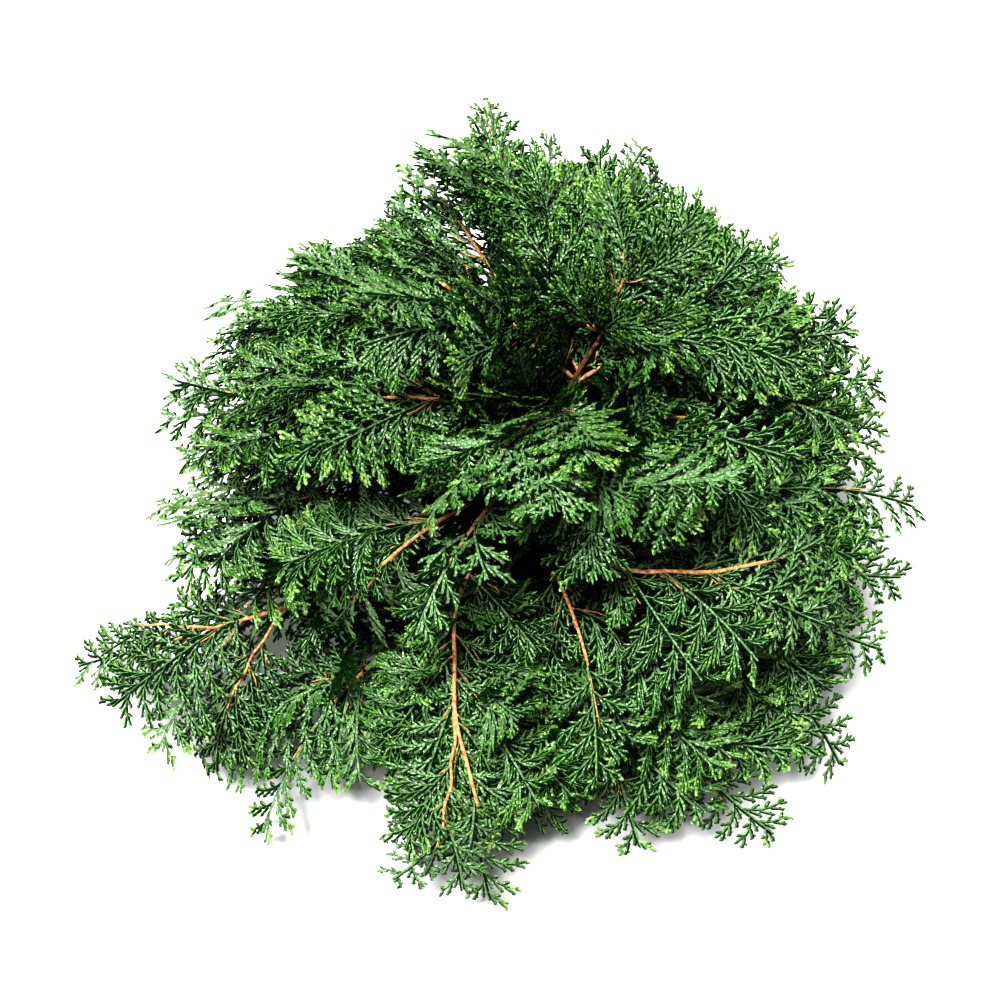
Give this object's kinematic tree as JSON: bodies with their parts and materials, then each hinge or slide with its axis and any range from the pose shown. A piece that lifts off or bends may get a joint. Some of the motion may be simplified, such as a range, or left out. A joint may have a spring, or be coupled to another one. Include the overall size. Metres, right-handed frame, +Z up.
{
  "type": "dwarf hinoki cypress",
  "caption": "Low, dome-shaped dwarf conifer with flat fern-like sprays of green scale leaves on orange-brown limbs, rooted at a flat cut under its leaning trunk.",
  "frame": {"origin": "middle of the flat cut under the trunk, at ground level", "axes": "+Z up, -Y towards the side from which the plant is usually seen, +X to that viewer's right"},
  "size_m": [0.5156, 0.4025, 0.3574],
  "materials": {
    "bark": "rough, flaking, red-brown",
    "young_bark": "matte, orange-brown, finely flaked",
    "foliage_deep": "satin, blue-green",
    "foliage_mid": "satin, mid green",
    "foliage_bright": "satin, yellow-green"
  },
  "bodies": {
    "root": {"trunk": "bark", "bough_right_low": "young_bark", "bough_right_tip": "young_bark", "bough_right_mid": "young_bark", "bough_right_back": "young_bark", "bough_back_right": "young_bark", "bough_back_right_top": "young_bark", "bough_top_right": "young_bark", "bough_top_mid": "young_bark", "bough_top_left": "young_bark", "bough_back_left": "young_bark", "bough_left_back_top": "young_bark", "bough_left_back": "young_bark", "bough_left_mid": "young_bark", "bough_left_low": "young_bark", "bough_left_far": "young_bark", "bough_front_left_low": "young_bark", "bough_front_left": "young_bark", "bough_front_low": "young_bark", "bough_front_right": "young_bark", "bough_front_right_low": "young_bark", "bough_right_front_low": "young_bark", "bough_right_front": "young_bark", "foliage_right_low": "foliage_mid", "foliage_right_tip": "foliage_mid", "foliage_right_mid": "foliage_mid", "foliage_right_back": "foliage_mid", "foliage_back_right": "foliage_mid", "foliage_back_right_top": "foliage_mid", "foliage_top_right": "foliage_mid", "foliage_top_mid": "foliage_mid", "foliage_top_left": "foliage_mid", "foliage_back_left": "foliage_mid", "foliage_left_back_top": "foliage_mid", "foliage_left_back": "foliage_mid", "foliage_left_mid": "foliage_mid", "foliage_left_low": "foliage_mid", "foliage_left_far": "foliage_mid", "foliage_front_left_low": "foliage_mid", "foliage_front_left": "foliage_mid", "foliage_front_low": "foliage_mid", "foliage_front_right": "foliage_mid", "foliage_front_right_low": "foliage_mid", "foliage_right_front_low": "foliage_mid", "foliage_right_front": "foliage_mid", "foliage_front_left_upper": "foliage_bright", "foliage_front_right_upper": "foliage_bright", "foliage_right_upper": "foliage_bright", "foliage_right_shoulder": "foliage_bright", "foliage_left_shoulder": "foliage_bright", "foliage_front_crown": "foliage_bright", "foliage_front_left_crown": "foliage_bright", "foliage_front_right_crown": "foliage_bright", "foliage_right_crown": "foliage_bright", "foliage_left_crown": "foliage_bright", "foliage_back_low": "foliage_deep", "foliage_back_low_left": "foliage_deep", "foliage_back_low_right": "foliage_deep", "foliage_leader": "foliage_bright"}
  },
  "joints": []
}
